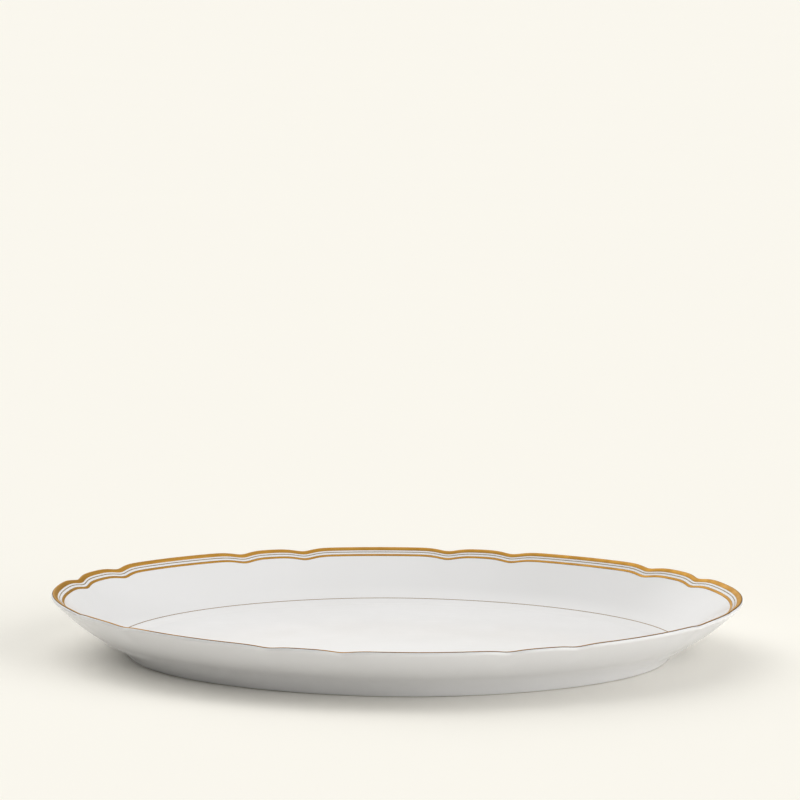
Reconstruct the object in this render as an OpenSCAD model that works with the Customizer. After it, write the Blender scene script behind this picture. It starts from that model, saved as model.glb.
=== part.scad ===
// Oval china serving platter with a scalloped gilt rim.
// All sizes are in millimetres. +X runs along the platter and +Z points up.
// The origin is the middle of the footprint, on the surface the platter stands on.
// An inset is measured in plan, inward from the crest of the rim.

/* [Outline] */
// Half the length of the oval that the crest of the rim follows
crest_half_length = 200; // [150:1:250]
// Half the width of the same oval
crest_half_width = 158.5; // [115:0.5:200]
// Exponent of the oval: 2 is an ellipse, and less has leaner shoulders
oval_exponent = 1.91; // [1.85:0.01:2.3]
// Bearing of the notch at each end of the end lobe
notch_angle_1 = 15.5; // [13:0.1:18]
// Bearing of the notch between the end's short lobe and the shoulder's long one
notch_angle_2 = 28.3; // [26:0.1:32]
// Bearing of the notch between the shoulder's long lobe and the next short one
notch_angle_3 = 59; // [56:0.1:63]
// Bearing of the notch at each end of the lobe in the middle of a long side
notch_angle_4 = 73.4; // [71:0.1:77]
// How far a notch cuts into the oval
notch_depth = 2.1; // [0.5:0.1:3]
// How far the crest drops at a notch
notch_drop = 1.4; // [0.6:0.1:2.4]
// Distance along the rim over which a notch dies away on each side
notch_reach = 18.6; // [8:0.1:20]
// Roundness of the bottom of a notch, as a fraction of its reach
notch_roundness = 0.3; // [0.05:0.01:0.5]

/* [Side wall] */
// Mean height of the crest of the rim
rim_height = 33.2; // [32.4:0.1:38]
// How much the crest rises at the ends and drops at the sides
rim_lift = 0.9; // [0:0.1:3]
// Radius of the rounded lip
lip_radius = 1.3; // [1:0.05:1.5]
// Fall of the face of the flange, as height over inset
flange_slope = 0.79; // [0.7:0.01:0.82]
// Inset at which the face starts to curve into the well
flange_run = 26; // [22:1:30]
// Inset at which the well becomes flat
well_inset = 46; // [44:1:49]
// Height where the back of the wall would pass under the crest
back_top_height = 30.3; // [29.5:0.1:30.7]
// Height that the back of the wall would reach under the well line without the hollow
back_bottom_height = 7.3; // [6.5:0.1:7.8]
// How far the back bellies out below a straight line
back_belly = 2.6; // [1:0.1:3]
// Inset at which the back starts to hollow toward the foot ring
hollow_start = 22; // [18:0.5:25]

/* [Base] */
// Inset of the outer side of the foot ring, along the sides of the platter
foot_inset = 34.2; // [33.5:0.1:36]
// How much further in the foot ring is at the two ends
foot_draw_in = 8; // [0:0.5:12]
// Lean of the outer side of the foot ring, up from the table
foot_side_angle = 58; // [52:1:80]
// Width of the foot ring
foot_width = 4.5; // [3:0.1:8]
// Height of the foot ring
foot_height = 2.2; // [1.5:0.1:2.6]
// Thickness of the coat of glaze
glaze_thickness = 0.25; // [0.15:0.05:0.3]

/* [Decoration] */
// Thickness of the gilding and of the painted line, drawn thicker than life
gilt_thickness = 0.08; // [0.05:0.01:0.15]
// Angle round the lip, outward from its crest, at which the edge band starts
band_start_angle = 35; // [20:1:45]
// Inset of the inner side of the edge band
band_inset = 2.6; // [1.4:0.1:3.2]
// Inset of the outer side of the painted line
painted_line_inset = 3.4; // [2.8:0.1:4]
// Width of the painted line
painted_line_width = 0.5; // [0.3:0.1:0.9]
// Inset of the outer side of the inner gilt line
inner_line_inset = 5; // [4.5:0.1:6]
// Width of the inner gilt line
inner_line_width = 1.4; // [0.6:0.1:2]
// Inset of the outer side of the gilt line round the well
well_line_inset = 35.9; // [35.2:0.1:36.4]
// Width of the gilt line round the well
well_line_width = 0.5; // [0.3:0.1:1]

/* [Hidden] */

china_color = [0.93, 0.93, 0.91];
glaze_color = [0.95, 0.95, 0.94];
gilt_color = [0.78, 0.56, 0.25];
line_color = [0.62, 0.58, 0.52];

// Stretches from one point to the next along a long lobe and along a short one
long_lobe_steps = 10;
short_lobe_steps = 8;
// Stretches down the hollow over the foot ring
hollow_steps = 3;
// How steeply a notch narrows
notch_sharpness = 4;
// On the face a notch keeps its full depth as far in as the gilding, then fades out
face_notch_start = 6.5;
face_notch_run = 19.5;
// On the back a notch starts to fade out right under the lip
back_notch_start = 1;
back_notch_run = 13;
// The lift of the crest has died away by this inset
lift_run = 32;
// The well line's inset is where the straight part of the back is measured
back_run = 33;
// The ends' draw-in starts at this inset and grows steeply toward the tips
draw_start = 26.5;
draw_power = 8;
// Height of the bare edge under the glaze, and width of its bevel
bare_edge_height = 0.5;
bare_edge_width = 0.6;

// How the sections are sampled: shares of the curve into the well, insets and lip angles
glaze_curve_shares = [0, 0.2, 0.38];
china_curve_shares = [0, 0.28, 0.53];
last_curve_share = 0.75;
flange_middle_inset = 15;
back_insets = [5, 13];
glaze_lip_angles = [55, 90];
china_lip_angle = 45;

notch_angles_quarter = [notch_angle_1, notch_angle_2, notch_angle_3, notch_angle_4];
notch_angles = [
    for (side = [0, 180], mirrored = [false, true], i = [0 : 3])
        mirrored ? side + 180 - notch_angles_quarter[3 - i] : side + notch_angles_quarter[i]
];
notch_points = [for (angle = notch_angles) oval_point(angle)];

lip_center_inset = 0.1;
lip_center_height = rim_height - lip_radius;
flange_angle = atan(flange_slope);
face_top_inset = lip_center_inset + lip_radius * sin(flange_angle);
face_top_height = lip_center_height + lip_radius * cos(flange_angle);
flange_bottom_height = face_top_height - flange_slope * (flange_run - face_top_inset);
well_curve_run = well_inset - flange_run;
well_height = flange_bottom_height - flange_slope * well_curve_run / 2;
back_lip_angle = 135;
draw_end = foot_side_point(foot_height, 0).x;

// ---------------------------------------------------------------- outline

function oval_point(angle) =
    let (
        along = pow(abs(cos(angle)) / crest_half_length, oval_exponent),
        across = pow(abs(sin(angle)) / crest_half_width, oval_exponent),
        radius = pow(along + across, -1 / oval_exponent)
    )
    [radius * cos(angle), radius * sin(angle)];

function slope_term(distance, half_size) =
    sign(distance) * pow(abs(distance), oval_exponent - 1) / pow(half_size, oval_exponent);

function oval_normal(point) =
    let (
        outward = [slope_term(point.x, crest_half_length), slope_term(point.y, crest_half_width)]
    )
    outward / norm(outward);

// Share of the full notch depth at a distance from the notch
function notch_share(distance) =
    let (
        reach = distance / notch_reach,
        rounded = sqrt(reach * reach + notch_roundness * notch_roundness) - notch_roundness
    )
    pow(max(0, 1 - rounded), notch_sharpness);

// Share of the full notch depth at a point of the oval
function notch_at(point) =
    max([for (notch = notch_points) notch_share(norm(point - notch))]);

function crest_lift(point) = rim_lift * (2 * pow(point.x / crest_half_length, 2) - 1);

function draw_in(point) = foot_draw_in * pow(abs(point.x) / crest_half_length, draw_power);

// Bearings of the stations round the rim, closer together beside the notches
station_angles = [
    for (i = [0 : len(notch_angles) - 1])
        let (
            start = notch_angles[i],
            end = i < len(notch_angles) - 1 ? notch_angles[i + 1] : notch_angles[0] + 360,
            steps = i % 2 == 0 ? short_lobe_steps : long_lobe_steps
        )
        for (j = [0 : steps - 1]) start + (end - start) * (1 - cos(180 * j / steps)) / 2
];
// Each station is a point on the crest's oval, the way out, notch share, lift and draw-in
stations = [
    for (angle = station_angles)
        let (point = oval_point(angle))
        [point, oval_normal(point), notch_at(point), crest_lift(point), draw_in(point)]
];

// From 0 at the start of a run to 1 at its end, eased at both
function eased(distance, run) = (1 - cos(180 * min(1, max(0, distance / run)))) / 2;

function lift_fade(inset) = 1 - min(1, max(0, inset / lift_run));

// One closed line of points round the platter, at one point of the section.
// A section point is its inset, its height, its share of the ends' draw-in and of the notches.
function ring(section_point) =
    let (inset = section_point[0])
    [
        for (station = stations)
            let (
                notch = station[2] * section_point[3],
                drawn = station[4] * section_point[2],
                plan = station[0] - station[1] * (inset + notch_depth * notch + drawn),
                lift = station[3] * lift_fade(inset)
            )
            [plan.x, plan.y, section_point[1] + lift - notch_drop * notch]
    ];

// ---------------------------------------------------------------- section

// The face is straight down the flange and then curves into the flat well
function face_height(inset) =
    inset < flange_run
        ? face_top_height - flange_slope * (inset - face_top_inset)
        : well_height + flange_slope * pow(well_inset - inset, 2) / (2 * well_curve_run);

function face_fall(inset) =
    inset < flange_run ? flange_slope : flange_slope * (well_inset - inset) / well_curve_run;

// A point on the face, raised off it by some depth measured square to it
function face_point(inset, raised) =
    let (
        angle = atan(face_fall(inset)),
        notch_left = 1 - eased(inset - face_notch_start, face_notch_run)
    )
    [inset + raised * sin(angle), face_height(inset) + raised * cos(angle), 0, notch_left];

// A point on the lip, at an angle from straight up, outward being positive
function lip_point(angle, raised) =
    [
        lip_center_inset - (lip_radius + raised) * sin(angle),
        lip_center_height + (lip_radius + raised) * cos(angle),
        0,
        1
    ];

function draw_share(inset) = eased(inset - draw_start, draw_end - draw_start);

function back_fall(inset) =
    let (drop = back_top_height - back_bottom_height)
    (drop + 4 * back_belly * (1 - 2 * inset / back_run)) / back_run;

// A point on the back of the wall, which bellies out below a straight line
function back_point(inset, raised) =
    let (
        share = inset / back_run,
        drop = back_top_height - back_bottom_height,
        height = back_top_height - drop * share - 4 * back_belly * share * (1 - share),
        angle = atan(back_fall(inset)),
        notch_left = 1 - eased(inset - back_notch_start, back_notch_run)
    )
    [inset - raised * sin(angle), height - raised * cos(angle), draw_share(inset), notch_left];

// A point of the foot ring, all of which is drawn in at the ends
function foot_point(inset, height) = [inset, height, 1, 0];

// A point on the leaning outer side of the foot ring
function foot_side_point(height, raised) =
    foot_point(
        foot_inset - height / tan(foot_side_angle) - raised / sin(foot_side_angle),
        height
    );

// Where the lines on from the wall and up from the foot ring would meet
function hollow_corner() =
    let (
        wall = back_point(hollow_start, 0),
        foot = foot_side_point(foot_height, 0),
        fall = back_fall(hollow_start),
        rise = tan(foot_side_angle),
        inset = (wall.y + fall * wall.x - foot.y - rise * foot.x) / (fall - rise)
    )
    [inset, wall.y - fall * (inset - wall.x)];

// A point on the hollow that leads the back of the wall down into the foot ring
function hollow_point(share, raised) =
    let (
        wall = [for (i = [0, 1]) back_point(hollow_start, 0)[i]],
        corner = hollow_corner(),
        foot = [for (i = [0, 1]) foot_side_point(foot_height, 0)[i]],
        middle = wall * pow(1 - share, 2) + corner * 2 * share * (1 - share) + foot * pow(share, 2),
        along = (corner - wall) * (1 - share) + (foot - corner) * share,
        out = [along.y, -along.x] / norm(along)
    )
    [middle.x + raised * out.x, middle.y + raised * out.y, draw_share(middle.x), 0];

// The back of the wall and the hollow, down to the top of the foot ring
function back_section(raised) =
    concat(
        [for (inset = concat(back_insets, [hollow_start])) back_point(inset, raised)],
        [for (i = [1 : hollow_steps - 1]) hollow_point(i / hollow_steps, raised)],
        [foot_side_point(foot_height, raised)]
    );

function curve_insets(shares) =
    [for (share = shares) well_inset - share * well_curve_run];

// The whole glazed surface, from the well over the lip and down the foot ring's side
function glaze_section() =
    concat(
        [
            for (inset = concat(
                curve_insets(glaze_curve_shares),
                [well_line_inset + well_line_width, well_line_inset],
                curve_insets([last_curve_share]),
                [flange_run, flange_middle_inset, inner_line_inset + inner_line_width],
                [inner_line_inset, painted_line_inset + painted_line_width],
                [painted_line_inset, band_inset]
            ))
                face_point(inset, 0)
        ],
        [
            for (angle = concat(
                [-flange_angle, 0, band_start_angle],
                glaze_lip_angles,
                [back_lip_angle]
            ))
                lip_point(angle, 0)
        ],
        back_section(0),
        [foot_side_point(bare_edge_height, 0)]
    );

// The china under the glaze, from the well over the lip and down to the foot ring
function china_section() =
    concat(
        [
            for (inset = concat(
                curve_insets(china_curve_shares),
                curve_insets([last_curve_share]),
                [flange_run, flange_middle_inset, inner_line_inset]
            ))
                face_point(inset, -glaze_thickness)
        ],
        [
            for (angle = [-flange_angle, china_lip_angle, back_lip_angle])
                lip_point(angle, -glaze_thickness)
        ],
        back_section(-glaze_thickness)
    );

// The bare foot ring, whose outer side is under the glaze down to its bevelled edge
function foot_section() =
    [
        foot_side_point(foot_height, -glaze_thickness),
        foot_side_point(bare_edge_height, -glaze_thickness),
        foot_point(foot_inset + bare_edge_width, 0),
        foot_point(foot_inset + foot_width, 0),
        foot_point(foot_inset + foot_width, foot_height)
    ];

function line_section(inset, width) =
    [
        face_point(inset + width, gilt_thickness),
        face_point(inset, gilt_thickness),
        face_point(inset, 0),
        face_point(inset + width, 0)
    ];

function band_section() =
    [
        face_point(band_inset, gilt_thickness),
        lip_point(-flange_angle, gilt_thickness),
        lip_point(0, gilt_thickness),
        lip_point(band_start_angle, gilt_thickness),
        lip_point(band_start_angle, 0),
        lip_point(0, 0),
        lip_point(-flange_angle, 0),
        face_point(band_inset, 0)
    ];

// ---------------------------------------------------------------- solids

function reversed(list) = [for (i = [len(list) - 1 : -1 : 0]) list[i]];

// Two triangles per station between one ring and the next
function wall_faces(ring_a, ring_b) =
    let (count = len(stations))
    [
        for (i = [0 : count - 1])
            let (next = (i + 1) % count)
            for (triangle = [
                [ring_a * count + i, ring_b * count + next, ring_b * count + i],
                [ring_a * count + i, ring_a * count + next, ring_b * count + next]
            ])
                triangle
    ];

// A fan of triangles that closes a ring onto one middle point
function cap_faces(ring_index, middle, first) =
    let (count = len(stations))
    [
        for (i = [0 : count - 1])
            let (
                a = ring_index * count + i,
                b = ring_index * count + (i + 1) % count
            )
            first ? [middle, b, a] : [middle, a, b]
    ];

// A solid swept round the oval and closed at two points of the middle axis
module dish(section, first_height, last_height) {
    rings = len(section);
    points = [for (section_point = section) each ring(section_point)];
    first_middle = len(points);
    faces = concat(
        [for (i = [0 : rings - 2]) each wall_faces(i, i + 1)],
        cap_faces(0, first_middle, true),
        cap_faces(rings - 1, first_middle + 1, false)
    );
    polyhedron(
        points = concat(points, [[0, 0, first_height], [0, 0, last_height]]),
        faces = faces,
        convexity = 8
    );
}

// A closed loop of section swept round the oval
module hoop(section) {
    rings = len(section);
    polyhedron(
        points = [for (section_point = section) each ring(section_point)],
        faces = [for (i = [0 : rings - 1]) each wall_faces(i, (i + 1) % rings)],
        convexity = 8
    );
}

// ---------------------------------------------------------------- sub-parts

// The fired china: well, flange, lip and the root of the foot
module china_body() {
    color(china_color)
        dish(china_section(), well_height - glaze_thickness, foot_height);
}

// The ring that the platter stands on, with its bare lower edge
module foot_ring() {
    color(china_color)
        hoop(foot_section());
}

// The coat of glaze over the face, the lip and the back
module outer_glaze() {
    color(glaze_color)
        dish(
            concat(
                glaze_section(),
                [foot_side_point(bare_edge_height, -glaze_thickness)],
                reversed(china_section())
            ),
            well_height,
            well_height - glaze_thickness
        );
}

// The coat of glaze under the well, inside the foot ring
module base_glaze() {
    color(glaze_color)
        translate([0, 0, foot_height - glaze_thickness])
            linear_extrude(glaze_thickness)
                polygon([
                    for (point = ring(foot_point(foot_inset + foot_width, 0)))
                        [point.x, point.y]
                ]);
}

// The wide matt gilt band over the crest of the lip
module gilt_edge_band() {
    color(gilt_color)
        hoop(band_section());
}

// The thin painted line between the two gilt ones
module painted_rim_line() {
    color(line_color)
        hoop(line_section(painted_line_inset, painted_line_width));
}

// The narrow gilt line inside the painted one
module inner_gilt_line() {
    color(gilt_color)
        hoop(line_section(inner_line_inset, inner_line_width));
}

// The fine gilt line round the edge of the well
module well_gilt_line() {
    color(gilt_color)
        hoop(line_section(well_line_inset, well_line_width));
}

china_body();
foot_ring();
outer_glaze();
base_glaze();
gilt_edge_band();
painted_rim_line();
inner_gilt_line();
well_gilt_line();
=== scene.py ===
"""Looks of the oval china serving platter: finely sampled coats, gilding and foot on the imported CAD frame.

Section sizes are the ones in part.scad, in millimetres. An inset is measured in plan, inward from the
crest of the rim. The camera looks along +Y, a little from the left, down onto the back of the rim.
"""

import math

import bpy
import numpy as np
from mathutils import Matrix, Vector


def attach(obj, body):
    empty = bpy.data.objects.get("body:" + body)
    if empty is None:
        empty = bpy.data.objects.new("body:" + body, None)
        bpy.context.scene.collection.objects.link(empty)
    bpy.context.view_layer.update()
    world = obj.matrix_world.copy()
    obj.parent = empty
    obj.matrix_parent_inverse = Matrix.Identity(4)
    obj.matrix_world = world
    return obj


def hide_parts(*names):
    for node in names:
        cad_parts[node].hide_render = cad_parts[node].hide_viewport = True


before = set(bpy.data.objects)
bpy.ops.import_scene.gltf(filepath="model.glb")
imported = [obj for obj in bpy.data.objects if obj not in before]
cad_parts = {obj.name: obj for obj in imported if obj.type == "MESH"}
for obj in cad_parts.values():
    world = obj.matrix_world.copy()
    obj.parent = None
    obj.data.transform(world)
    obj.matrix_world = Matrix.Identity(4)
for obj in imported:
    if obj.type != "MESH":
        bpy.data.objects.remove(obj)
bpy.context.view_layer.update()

MM = 0.001
BODY = "root"

# ------------------------------------------------------------------ sizes, as in part.scad

CREST_HALF_LENGTH = 200.0
CREST_HALF_WIDTH = 158.5
OVAL_EXPONENT = 1.91
NOTCH_ANGLES_QUARTER = (15.5, 28.3, 59.0, 73.4)
NOTCH_DEPTH = 2.1
NOTCH_DROP = 1.4
NOTCH_REACH = 18.6
NOTCH_ROUNDNESS = 0.3
NOTCH_SHARPNESS = 4
FACE_NOTCH_START = 6.5
FACE_NOTCH_RUN = 19.5
BACK_NOTCH_START = 1.0
BACK_NOTCH_RUN = 13.0

RIM_HEIGHT = 33.2
RIM_LIFT = 0.9
LIFT_RUN = 32.0
LIP_RADIUS = 1.3
LIP_CENTER_INSET = 0.1
FLANGE_SLOPE = 0.79
FLANGE_RUN = 26.0
WELL_INSET = 46.0
BACK_TOP_HEIGHT = 30.3
BACK_RUN = 33.0
BACK_BOTTOM_HEIGHT = 7.3
BACK_BELLY = 2.6
BACK_LIP_ANGLE = 135.0
HOLLOW_START = 22.0

FOOT_INSET = 34.2
FOOT_DRAW_IN = 8.0
FOOT_DRAW_START = 26.5
FOOT_DRAW_POWER = 8
FOOT_SIDE_ANGLE = math.radians(58)
FOOT_WIDTH = 4.5
FOOT_HEIGHT = 2.2
BARE_EDGE_HEIGHT = 0.5
BARE_EDGE_WIDTH = 0.6
GLAZE_THICKNESS = 0.25

GILT_THICKNESS = 0.08
BAND_START_ANGLE = 35.0
BAND_INSET = 2.6
PAINTED_LINE = (3.4, 0.5)
INNER_LINE = (5.0, 1.4)
WELL_LINE = (35.9, 0.5)

LIP_CENTER_HEIGHT = RIM_HEIGHT - LIP_RADIUS
FLANGE_ANGLE = math.atan(FLANGE_SLOPE)
FACE_TOP_INSET = LIP_CENTER_INSET + LIP_RADIUS * math.sin(FLANGE_ANGLE)
FACE_TOP_HEIGHT = LIP_CENTER_HEIGHT + LIP_RADIUS * math.cos(FLANGE_ANGLE)
WELL_CURVE_RUN = WELL_INSET - FLANGE_RUN
WELL_HEIGHT = (
    FACE_TOP_HEIGHT
    - FLANGE_SLOPE * (FLANGE_RUN - FACE_TOP_INSET)
    - FLANGE_SLOPE * WELL_CURVE_RUN / 2
)

# ------------------------------------------------------------------ eased edges, in millimetres

# A painted line's edges slope in over this share of its width.
LINE_EASE = 0.15
# The edge band's inner edge slopes in over this inset.
BAND_EASE = 0.1
# The glaze ends in a round drop above the bare edge: height and depth as shares of its thickness.
GLAZE_DROP = ((1.0, 0.0), (0.3, 0.1), (0.0, 0.4), (0.0, 1.0))
# The rounding between the foot ring's side and its flat passes this share of the bare edge's height.
FOOT_CORNER_SHARE = 0.1
# The rounding of the foot ring's inner edge: how far in from its side, and how high.
FOOT_INNER_EDGE = ((0.3, 0.0), (0.1, 0.1), (0.0, 0.35))

# ------------------------------------------------------------------ how finely it is sampled

LONG_LOBE_STEPS = 44
SHORT_LOBE_STEPS = 32
WELL_CURVE_POINTS = 15
FLANGE_POINTS = 14
LIP_POINTS = 16
BACK_POINTS = 11
BACK_FIRST_INSET = 0.8
HOLLOW_STEPS = 10
BAND_POINTS = 8
FOOT_CORNER_POINTS = 5
# Rings that fill a flat disc, as shares of its edge's distance from the middle.
DISC_SCALES = (0.2, 0.4, 0.6, 0.8, 0.93)


# ------------------------------------------------------------------ outline


def notch_angles():
    """Bearings of all sixteen notches, from the four in the first quarter."""
    quarter = list(NOTCH_ANGLES_QUARTER)
    mirrored = [180 - a for a in reversed(quarter)]
    half = quarter + mirrored
    return np.array(half + [180 + a for a in half])


def oval_points(degrees):
    """Points on the oval that the crest follows."""
    angle = np.radians(degrees)
    along = (np.abs(np.cos(angle)) / CREST_HALF_LENGTH) ** OVAL_EXPONENT
    across = (np.abs(np.sin(angle)) / CREST_HALF_WIDTH) ** OVAL_EXPONENT
    radius = (along + across) ** (-1 / OVAL_EXPONENT)
    return np.stack([radius * np.cos(angle), radius * np.sin(angle)], axis=1)


def oval_normals(points):
    """The way out from the oval at each of its points."""
    sizes = np.array([CREST_HALF_LENGTH, CREST_HALF_WIDTH])
    outward = np.sign(points) * np.abs(points) ** (OVAL_EXPONENT - 1) / sizes**OVAL_EXPONENT
    return outward / np.linalg.norm(outward, axis=1, keepdims=True)


def notch_shares(points):
    """Share of the full notch depth at each point of the oval."""
    notches = oval_points(notch_angles())
    distance = np.linalg.norm(points[:, None, :] - notches[None, :, :], axis=2).min(axis=1)
    reach = distance / NOTCH_REACH
    rounded = np.sqrt(reach**2 + NOTCH_ROUNDNESS**2) - NOTCH_ROUNDNESS
    return np.clip(1 - rounded, 0, None) ** NOTCH_SHARPNESS


def station_bearings():
    """Bearings of the stations round the rim, closer together beside the notches."""
    starts = notch_angles()
    ends = np.append(starts[1:], starts[0] + 360)
    bearings = []
    for i, (start, end) in enumerate(zip(starts, ends)):
        steps = SHORT_LOBE_STEPS if i % 2 == 0 else LONG_LOBE_STEPS
        share = np.arange(steps) / steps
        eased = (1 - np.cos(np.pi * share)) / 2
        bearings.append(start + (end - start) * (share + eased) / 2)
    return np.concatenate(bearings)


STATION_POINTS = oval_points(station_bearings())
STATION_NORMALS = oval_normals(STATION_POINTS)
STATION_NOTCHES = notch_shares(STATION_POINTS)
STATION_LIFTS = RIM_LIFT * (2 * (STATION_POINTS[:, 0] / CREST_HALF_LENGTH) ** 2 - 1)
STATION_DRAWS = FOOT_DRAW_IN * (np.abs(STATION_POINTS[:, 0]) / CREST_HALF_LENGTH) ** FOOT_DRAW_POWER


def eased(distance, run):
    """From 0 at the start of a run to 1 at its end, eased at both."""
    return (1 - math.cos(math.pi * min(1.0, max(0.0, distance / run)))) / 2


def ring(inset, height, draw_share, notch_share):
    """One closed line of points round the platter, in metres, at one point of the section."""
    notch = STATION_NOTCHES * notch_share
    lift = STATION_LIFTS * (1 - min(1.0, max(0.0, inset / LIFT_RUN)))
    inward = inset + NOTCH_DEPTH * notch + STATION_DRAWS * draw_share
    plan = STATION_POINTS - STATION_NORMALS * inward[:, None]
    return np.column_stack([plan, height + lift - NOTCH_DROP * notch]) * MM


# ------------------------------------------------------------------ section


def face_point(inset, raised):
    """A point on the face, raised off it by some depth measured square to it."""
    if inset < FLANGE_RUN:
        height = FACE_TOP_HEIGHT - FLANGE_SLOPE * (inset - FACE_TOP_INSET)
        fall = FLANGE_SLOPE
    else:
        left = WELL_INSET - inset
        height = WELL_HEIGHT + FLANGE_SLOPE * left**2 / (2 * WELL_CURVE_RUN)
        fall = FLANGE_SLOPE * left / WELL_CURVE_RUN
    angle = math.atan(fall)
    notch_left = 1 - eased(inset - FACE_NOTCH_START, FACE_NOTCH_RUN)
    return inset + raised * math.sin(angle), height + raised * math.cos(angle), 0.0, notch_left


def lip_point(degrees, raised):
    """A point on the lip, at an angle from straight up, outward being positive."""
    angle = math.radians(degrees)
    radius = LIP_RADIUS + raised
    inset = LIP_CENTER_INSET - radius * math.sin(angle)
    return inset, LIP_CENTER_HEIGHT + radius * math.cos(angle), 0.0, 1.0


def draw_share(inset):
    """How much of the ends' draw-in a point on the back takes."""
    return eased(inset - FOOT_DRAW_START, foot_side_point(FOOT_HEIGHT, 0)[0] - FOOT_DRAW_START)


def back_fall(inset):
    """How steeply the back of the wall falls, as height over inset."""
    drop = BACK_TOP_HEIGHT - BACK_BOTTOM_HEIGHT
    return (drop + 4 * BACK_BELLY * (1 - 2 * inset / BACK_RUN)) / BACK_RUN


def back_point(inset, raised):
    """A point on the back of the wall, which bellies out below a straight line."""
    share = inset / BACK_RUN
    drop = BACK_TOP_HEIGHT - BACK_BOTTOM_HEIGHT
    height = BACK_TOP_HEIGHT - drop * share - 4 * BACK_BELLY * share * (1 - share)
    angle = math.atan(back_fall(inset))
    across, up = inset - raised * math.sin(angle), height - raised * math.cos(angle)
    return across, up, draw_share(inset), 1 - eased(inset - BACK_NOTCH_START, BACK_NOTCH_RUN)


def foot_point(inset, height):
    """A point of the foot ring, all of which is drawn in at the ends."""
    return inset, height, 1.0, 0.0


def foot_side_point(height, raised):
    """A point on the leaning outer side of the foot ring."""
    inset = FOOT_INSET - height / math.tan(FOOT_SIDE_ANGLE) - raised / math.sin(FOOT_SIDE_ANGLE)
    return foot_point(inset, height)


def hollow_points(raised, steps):
    """The hollow that leads the back of the wall down into the foot ring."""
    wall = np.array(back_point(HOLLOW_START, 0)[:2])
    foot = np.array(foot_side_point(FOOT_HEIGHT, 0)[:2])
    fall, rise = back_fall(HOLLOW_START), math.tan(FOOT_SIDE_ANGLE)
    inset = (wall[1] + fall * wall[0] - foot[1] - rise * foot[0]) / (fall - rise)
    corner = np.array([inset, wall[1] - fall * (inset - wall[0])])
    points = []
    for share in np.linspace(0, 1, steps + 1)[1:-1]:
        middle = wall * (1 - share) ** 2 + corner * 2 * share * (1 - share) + foot * share**2
        along = (corner - wall) * (1 - share) + (foot - corner) * share
        out = np.array([along[1], -along[0]]) / np.linalg.norm(along)
        points.append((*(middle + raised * out), draw_share(middle[0]), 0.0))
    return points


def wall_section(raised):
    """The surface from the edge of the well over the lip and down to the foot ring."""
    insets = set(np.linspace(WELL_INSET, FLANGE_RUN, WELL_CURVE_POINTS))
    insets |= set(np.linspace(FLANGE_RUN, BAND_INSET, FLANGE_POINTS))
    for inset, width in (WELL_LINE, INNER_LINE, PAINTED_LINE):
        insets |= {inset, inset + width}
    section = [face_point(inset, raised) for inset in sorted(insets, reverse=True)]
    lip_angles = np.linspace(-math.degrees(FLANGE_ANGLE), BACK_LIP_ANGLE, LIP_POINTS)
    section += [lip_point(angle, raised) for angle in lip_angles]
    back_insets = np.linspace(BACK_FIRST_INSET, HOLLOW_START, BACK_POINTS)
    section += [back_point(inset, raised) for inset in back_insets]
    section += hollow_points(raised, HOLLOW_STEPS)
    return section + [foot_side_point(FOOT_HEIGHT, raised)]


# ------------------------------------------------------------------ meshes


def wall_faces(ring_a, ring_b, count):
    """Quads from one ring to the next, facing out when the rings run from the well outward."""
    here = np.arange(count)
    after = (here + 1) % count
    a, b = ring_a * count, ring_b * count
    return np.stack([a + here, b + here, b + after, a + after], axis=1).tolist()


def new_piece(name, vertices, faces, material, slot, replaced):
    """A smooth-shaded mesh that rides on the platter and stands for a CAD node."""
    mesh = bpy.data.meshes.new(name)
    mesh.from_pydata([tuple(v) for v in vertices], [], faces)
    mesh.update()
    mesh.shade_smooth()
    mesh.materials.append(material)
    piece = bpy.data.objects.new(name, mesh)
    bpy.context.scene.collection.objects.link(piece)
    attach(piece, BODY)
    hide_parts(replaced)
    return piece


def disc_rings(section_point):
    """Rings that fill the flat inside one section point, from the middle axis outward."""
    edge = ring(*section_point)
    middle = np.array([0.0, 0.0, edge[:, 2].mean()])
    return [middle + (edge - middle) * scale for scale in DISC_SCALES], middle


def dish(first_section, last_section_point):
    """Vertices and faces of a solid that is closed by a flat disc at each end of its section."""
    first_discs, first_middle = disc_rings(first_section[0])
    last_discs, last_middle = disc_rings(last_section_point)
    rings = first_discs + [ring(*p) for p in first_section] + [ring(*last_section_point)]
    rings += list(reversed(last_discs))
    count = len(STATION_POINTS)
    faces = []
    for i in range(len(rings) - 1):
        faces += wall_faces(i, i + 1, count)
    vertices = np.vstack(rings + [first_middle[None, :], last_middle[None, :]])
    first, last = len(rings) * count, len(rings) * count + 1
    bottom = (len(rings) - 1) * count
    for i in range(count):
        after = (i + 1) % count
        faces.append([first, i, after])
        faces.append([last, bottom + after, bottom + i])
    return vertices, faces


def hoop(section):
    """Vertices and faces of a closed loop of section swept round the oval."""
    count = len(STATION_POINTS)
    faces = []
    for i in range(len(section)):
        faces += wall_faces(i, (i + 1) % len(section), count)
    return np.vstack([ring(*p) for p in section]), faces


def line_section(line):
    """The section of a painted or gilt line: a low ridge with eased edges."""
    inset, width = line
    ease = width * LINE_EASE
    return [
        face_point(inset + width, 0),
        face_point(inset + width - ease, GILT_THICKNESS),
        face_point(inset + ease, GILT_THICKNESS),
        face_point(inset, 0),
    ]


def band_section():
    """The section of the edge band, which wraps over the crest of the lip."""
    flange = -math.degrees(FLANGE_ANGLE)
    over = list(np.linspace(flange, BAND_START_ANGLE, BAND_POINTS))
    top = [face_point(BAND_INSET - BAND_EASE, GILT_THICKNESS)]
    top += [lip_point(angle, GILT_THICKNESS) for angle in over[:-1]]
    under = [lip_point(angle, 0) for angle in reversed(over)] + [face_point(BAND_INSET, 0)]
    return top + under


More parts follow.
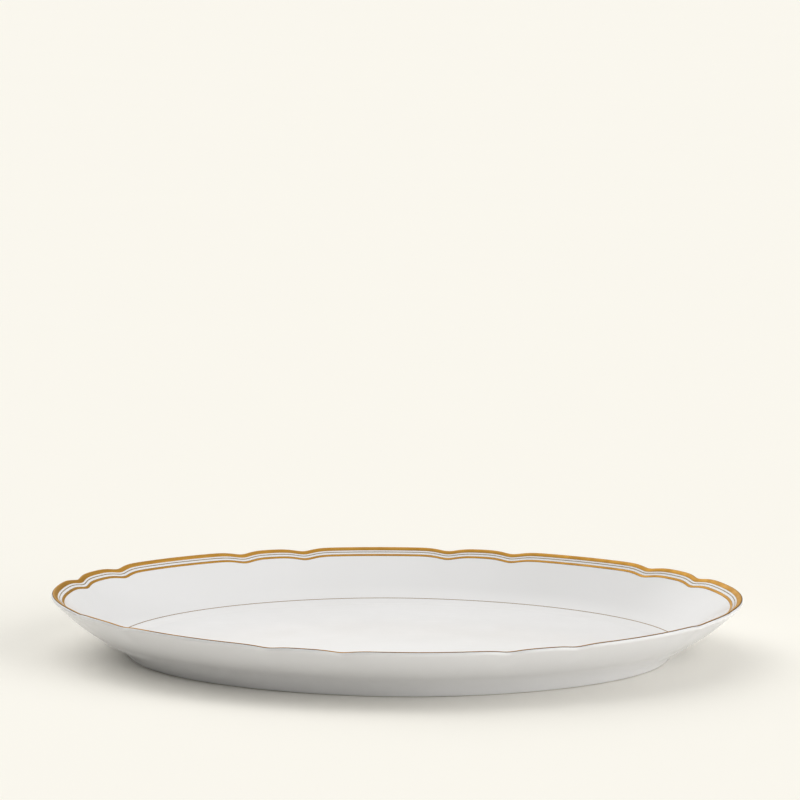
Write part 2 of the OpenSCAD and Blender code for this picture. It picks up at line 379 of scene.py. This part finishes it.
def glaze_edge():
    """The rounded lower edge of the glaze, on the side of the foot ring."""
    return [
        foot_side_point(BARE_EDGE_HEIGHT + up * GLAZE_THICKNESS, -deep * GLAZE_THICKNESS)
        for up, deep in GLAZE_DROP
    ]


def foot_section():
    """The section of the foot ring, with a rounded bare edge to stand on."""
    side = np.array(foot_side_point(BARE_EDGE_HEIGHT, -GLAZE_THICKNESS)[:2])
    flat = np.array([FOOT_INSET + BARE_EDGE_WIDTH, 0.0])
    corner = np.array([(side[0] + flat[0]) / 2, FOOT_CORNER_SHARE * BARE_EDGE_HEIGHT])
    section = [foot_side_point(FOOT_HEIGHT, -GLAZE_THICKNESS)]
    for share in np.linspace(0, 1, FOOT_CORNER_POINTS):
        middle = side * (1 - share) ** 2 + corner * 2 * share * (1 - share) + flat * share**2
        section.append(foot_point(*middle))
    inner = FOOT_INSET + FOOT_WIDTH
    section += [foot_point(inner - back, height) for back, height in FOOT_INNER_EDGE]
    return section + [foot_point(inner, FOOT_HEIGHT)]


# ------------------------------------------------------------------ materials

# Linear colours: the two that a surface drifts between, those of its wear, and the brown of the painted dark
# reflection on the gilding.
GLAZE_TONES = ((0.803, 0.806, 0.826), (0.833, 0.836, 0.862))
BARE_TONES = ((0.74, 0.72, 0.68), (0.55, 0.53, 0.49))
WIDE_GILT_TONES = ((0.490, 0.255, 0.040), (0.560, 0.308, 0.060))
THIN_GILT_TONES = ((0.270, 0.165, 0.065), (0.330, 0.205, 0.085))
WORN_THIN_GILT = (0.64, 0.44, 0.18)
# Painted dark reflection: the brown that the gilding takes where it faces outward over the lip.
DARK_REFLECTION_GILT = (0.110, 0.065, 0.038)
ENAMEL_TONES = ((0.230, 0.160, 0.085), (0.295, 0.215, 0.125))
GROUND_TONES = ((0.930, 0.915, 0.874), (0.932, 0.917, 0.876))

CHINA_IOR = 1.5
# The depth over which the knife marks stop at the edge of the well, in metres.
MARKS_FADE = 0.0015
# Knife marks: how the noise is stretched along a cut, the turn of the cuts, and where they start.
MARK_SETS = (((30.0, 900.0, 30.0), 0.5, 0.66), ((26.0, 800.0, 26.0), -0.9, 0.67))
MARK_EDGE = 0.06
MARK_ROUGHNESS = 0.05
# The middle of a noise's range, which is where nearly all of its values lie.
NOISE_LOW = 0.3
NOISE_HIGH = 0.7


class Shading:
    """A material being wired up: its node tree, its Principled shader and its coordinates."""

    def __init__(self, name):
        self.material = bpy.data.materials.new(name)
        self.material.use_nodes = True
        self.nodes = self.material.node_tree.nodes
        self.links = self.material.node_tree.links
        self.shader = self.nodes["Principled BSDF"]
        self.coordinates = self.nodes.new("ShaderNodeTexCoord").outputs["Object"]

    def set(self, **values):
        for name, value in values.items():
            self.shader.inputs[name.replace("_", " ")].default_value = value

    def stretched(self, scale, turn=0.0):
        """The coordinates turned about Z and scaled along each axis."""
        mapping = self.nodes.new("ShaderNodeMapping")
        mapping.inputs["Scale"].default_value = scale
        mapping.inputs["Rotation"].default_value = (0.0, 0.0, turn)
        self.links.new(self.coordinates, mapping.inputs["Vector"])
        return mapping.outputs["Vector"]

    def noise(self, scale, detail=3.0, roughness=0.5, vector=None):
        node = self.nodes.new("ShaderNodeTexNoise")
        node.inputs["Scale"].default_value = scale
        node.inputs["Detail"].default_value = detail
        node.inputs["Roughness"].default_value = roughness
        self.links.new(vector or self.coordinates, node.inputs["Vector"])
        return node.outputs["Fac"]

    def ranged(self, value, from_low, from_high, to_low, to_high):
        node = self.nodes.new("ShaderNodeMapRange")
        for name, number in zip(
            ("From Min", "From Max", "To Min", "To Max"), (from_low, from_high, to_low, to_high)
        ):
            node.inputs[name].default_value = number
        self.links.new(value, node.inputs["Value"])
        return node.outputs["Result"]

    def spread(self, low, high, scale, detail, roughness=0.5):
        """A noise whose values spread from low to high."""
        return self.ranged(self.noise(scale, detail, roughness), NOISE_LOW, NOISE_HIGH, low, high)

    def mixed(self, share, low, high):
        """A colour between two others, either of which may be another node's output."""
        node = self.nodes.new("ShaderNodeMix")
        node.data_type = "RGBA"
        self.links.new(share, node.inputs[0])
        for socket, color in ((node.inputs[6], low), (node.inputs[7], high)):
            if isinstance(color, bpy.types.NodeSocket):
                self.links.new(color, socket)
            else:
                socket.default_value = (*color, 1.0)
        return node.outputs[2]

    def math(self, operation, a, b):
        node = self.nodes.new("ShaderNodeMath")
        node.operation = operation
        for socket, value in zip(node.inputs, (a, b)):
            if isinstance(value, bpy.types.NodeSocket):
                self.links.new(value, socket)
            else:
                socket.default_value = value
        return node.outputs["Value"]

    def drive(self, name, output):
        self.links.new(output, self.shader.inputs[name])

    def bump(self, height, strength, distance):
        node = self.nodes.new("ShaderNodeBump")
        node.inputs["Strength"].default_value = strength
        node.inputs["Distance"].default_value = distance
        self.links.new(height, node.inputs["Height"])
        self.links.new(node.outputs["Normal"], self.shader.inputs["Normal"])


def glaze_material():
    """Glossy white glaze: faint tone drift, a slight ripple, and fine knife marks in the well."""
    m = Shading("glazed_china")
    m.set(IOR=CHINA_IOR)
    m.drive("Base Color", m.mixed(m.spread(0.0, 1.0, 9.0, 2.0), *GLAZE_TONES))
    cuts = []
    for stretch, turn, start in MARK_SETS:
        grain = m.noise(1.0, 2.0, vector=m.stretched(stretch, turn))
        cuts.append(m.ranged(grain, start, start + MARK_EDGE, 0.0, 1.0))
    place = m.nodes.new("ShaderNodeSeparateXYZ")
    m.links.new(m.coordinates, place.inputs["Vector"])
    well_top = WELL_HEIGHT * MM
    in_well = m.ranged(place.outputs["Z"], well_top, well_top + MARKS_FADE, 1.0, 0.0)
    marks = m.math("MULTIPLY", m.math("MAXIMUM", *cuts), in_well)
    gloss = m.spread(0.14, 0.22, 40.0, 3.0)
    m.drive("Roughness", m.math("ADD", gloss, m.math("MULTIPLY", marks, MARK_ROUGHNESS)))
    m.bump(m.noise(350.0, 2.0), 0.05, 0.0003)
    return m.material


def bare_china_material():
    """Matt unglazed china: fine grain, slightly grey where it has rubbed on shelves."""
    m = Shading("bare_china")
    m.set(IOR=CHINA_IOR)
    rubbed = m.ranged(m.noise(60.0, 4.0, 0.6), 0.45, 0.75, 0.0, 1.0)
    m.drive("Base Color", m.mixed(rubbed, *BARE_TONES))
    m.drive("Roughness", m.spread(0.75, 0.95, 220.0, 3.0))
    m.bump(m.noise(1500.0, 3.0), 0.25, 0.0002)
    return m.material


def gilding_material(name, tones):
    """Satin gilding: uneven burnish, thin places, and a painted dark reflection in brown where it faces
    outward over the lip, in noise-set patches.
    """
    m = Shading(name)
    m.set(Metallic=0.9)
    tone = m.mixed(m.spread(0.0, 1.0, 55.0, 4.0, 0.6), *tones)
    thin = m.ranged(m.noise(420.0, 3.0, 0.7), 0.66, 0.78, 0.0, 0.6)
    face = m.mixed(thin, tone, WORN_THIN_GILT)
    outward = m.nodes.new("ShaderNodeVectorMath")
    outward.operation = "DOT_PRODUCT"
    m.links.new(m.nodes.new("ShaderNodeTexCoord").outputs["Normal"], outward.inputs[0])
    m.links.new(m.stretched((1.0, 1.0, 0.0)), outward.inputs[1])
    # Painted dark reflection: the gilding turns brown where it faces outward over the lip, in patches set by
    # a noise.
    outside = m.ranged(outward.outputs["Value"], 0.035, 0.065, 0.0, 1.0)
    reflection_patches = m.ranged(m.noise(16.0, 2.0), 0.35, 0.43, 0.2, 1.0)
    m.drive("Base Color", m.mixed(m.math("MULTIPLY", outside, reflection_patches), face, DARK_REFLECTION_GILT))
    m.drive("Roughness", m.spread(0.52, 0.68, 150.0, 4.0))
    m.bump(m.noise(900.0, 3.0), 0.15, 0.0001)
    return m.material


def painted_line_material():
    """Thin brown-grey enamel, a little uneven where the brush carried less colour."""
    m = Shading("taupe_enamel")
    m.set(IOR=CHINA_IOR)
    m.drive("Base Color", m.mixed(m.spread(0.0, 1.0, 180.0, 3.0), *ENAMEL_TONES))
    m.drive("Roughness", m.spread(0.18, 0.34, 300.0, 2.0))
    m.bump(m.noise(1200.0, 2.0), 0.1, 0.0001)
    return m.material


def floor_material():
    """Plain pale matt ground."""
    m = Shading("pale_ground")
    m.set(Roughness=1.0)
    m.shader.inputs["Specular IOR Level"].default_value = 0.0
    m.drive("Base Color", m.mixed(m.spread(0.0, 1.0, 3.0, 2.0), *GROUND_TONES))
    return m.material


# ------------------------------------------------------------------ the platter


def build_platter():
    """All eight pieces, each over the CAD node that it stands for."""
    glaze, bare = glaze_material(), bare_china_material()
    gilding = gilding_material("satin_gilding", WIDE_GILT_TONES)
    thin_gilding = gilding_material("thin_gilding", THIN_GILT_TONES)
    enamel = painted_line_material()

    outer, under = wall_section(0.0) + glaze_edge(), wall_section(-GLAZE_THICKNESS)
    shell = outer + list(reversed(under))[:-1]
    new_piece("glaze_coat", *dish(shell, under[0]), glaze, "glaze", "outer_glaze")
    new_piece("china_core", *dish(under[:-1], under[-1]), bare, "bare_china", "china_body")

    inner_side = FOOT_INSET + FOOT_WIDTH
    base = [foot_point(inner_side, z) for z in (FOOT_HEIGHT, FOOT_HEIGHT - GLAZE_THICKNESS)]
    new_piece("base_coat", *dish(base[:1], base[1]), glaze, "glaze", "base_glaze")
    new_piece("standing_ring", *hoop(foot_section()), bare, "bare_china", "foot_ring")

    new_piece("edge_band", *hoop(band_section()), gilding, "gilding", "gilt_edge_band")
    new_piece("rim_line", *hoop(line_section(PAINTED_LINE)), enamel, "painted_line", "painted_rim_line")
    new_piece("gilt_line", *hoop(line_section(INNER_LINE)), gilding, "gilding", "inner_gilt_line")
    new_piece("well_line", *hoop(line_section(WELL_LINE)), thin_gilding, "gilding", "well_gilt_line")


# ------------------------------------------------------------------ stage, light and camera

FLOOR_HALF_SIZE = 40.0

# Each softbox, far off round the table: its bearing and elevation in degrees, and its strength.
SOFTBOXES = {
    "right": (355, 32, 2.3),
    "front right": (315, 10, 3.2),
    "behind left": (130, 35, 2.3),
    "behind": (90, 17, 1.0),
    "high left": (180, 50, 1.25),
    "overhead": (90, 80, 1.65),
}
# How quickly a softbox feathers out from its middle, as a power of the cosine.
SOFTBOX_FALLOFF = 10
LIGHT_COLOR = (1.0, 0.988, 0.948)

# The camera's distance in metres, then its place and its turns in radians.
CAMERA_DISTANCE = 2.1
CAMERA_BEARING = -0.0977
CAMERA_ELEVATION = 0.2073
CAMERA_PITCH = -0.0695
CAMERA_YAW = 0.0006
CAMERA_ROLL = -0.0166
FOCAL_LENGTH_PIXELS = 3596.4
FRAME_PIXELS = 800
SENSOR_WIDTH = 36.0


def build_floor():
    """A flat ground that runs out far past the view."""
    half = FLOOR_HALF_SIZE
    mesh = bpy.data.meshes.new("ground")
    corners = [(-half, -half, 0), (half, -half, 0), (half, half, 0), (-half, half, 0)]
    mesh.from_pydata(corners, [], [(0, 1, 2, 3)])
    mesh.materials.append(floor_material())
    ground = bpy.data.objects.new("ground", mesh)
    bpy.context.scene.collection.objects.link(ground)


def build_lights():
    """Large soft lights all round, each brightest at its middle and feathered out to nothing."""
    world = bpy.data.worlds.new("studio")
    world.use_nodes = True
    bpy.context.scene.world = world
    nodes, links = world.node_tree.nodes, world.node_tree.links
    look = nodes.new("ShaderNodeTexCoord").outputs["Generated"]

    def math_node(operation, *values):
        node = nodes.new("ShaderNodeMath")
        node.operation = operation
        for socket, value in zip(node.inputs, values):
            if isinstance(value, bpy.types.NodeSocket):
                links.new(value, socket)
            else:
                socket.default_value = value
        return node.outputs["Value"]

    total = None
    for bearing, elevation, strength in SOFTBOXES.values():
        around, up = math.radians(bearing), math.radians(elevation)
        toward = (math.cos(around) * math.cos(up), math.sin(around) * math.cos(up), math.sin(up))
        facing = nodes.new("ShaderNodeVectorMath")
        facing.operation = "DOT_PRODUCT"
        links.new(look, facing.inputs[0])
        facing.inputs[1].default_value = toward
        glow = math_node("POWER", math_node("MAXIMUM", facing.outputs["Value"], 0.0), SOFTBOX_FALLOFF)
        total = math_node("MULTIPLY_ADD", glow, strength, 0.0 if total is None else total)
    sky = nodes["Background"]
    sky.inputs["Color"].default_value = (*LIGHT_COLOR, 1.0)
    links.new(total, sky.inputs["Strength"])


def build_camera():
    """A long lens, low over the table and a little to the left of the middle."""
    data = bpy.data.cameras.new("camera")
    data.sensor_width = SENSOR_WIDTH
    data.lens = FOCAL_LENGTH_PIXELS * SENSOR_WIDTH / FRAME_PIXELS
    camera = bpy.data.objects.new("camera", data)
    flat = CAMERA_DISTANCE * math.cos(CAMERA_ELEVATION)
    place = Vector(
        (
            flat * math.sin(CAMERA_BEARING),
            -flat * math.cos(CAMERA_BEARING),
            CAMERA_DISTANCE * math.sin(CAMERA_ELEVATION),
        )
    )
    turn = Matrix.Rotation(CAMERA_BEARING + CAMERA_YAW, 4, "Z")
    tilt = Matrix.Rotation(math.pi / 2 - CAMERA_ELEVATION - CAMERA_PITCH, 4, "X")
    roll = Matrix.Rotation(-CAMERA_ROLL, 4, "Z")
    camera.matrix_world = Matrix.Translation(place) @ turn @ tilt @ roll
    bpy.context.scene.collection.objects.link(camera)
    bpy.context.scene.camera = camera


build_platter()
build_floor()
build_lights()
build_camera()
bpy.context.scene.view_settings.view_transform = "Standard"

bpy.context.view_layer.update()
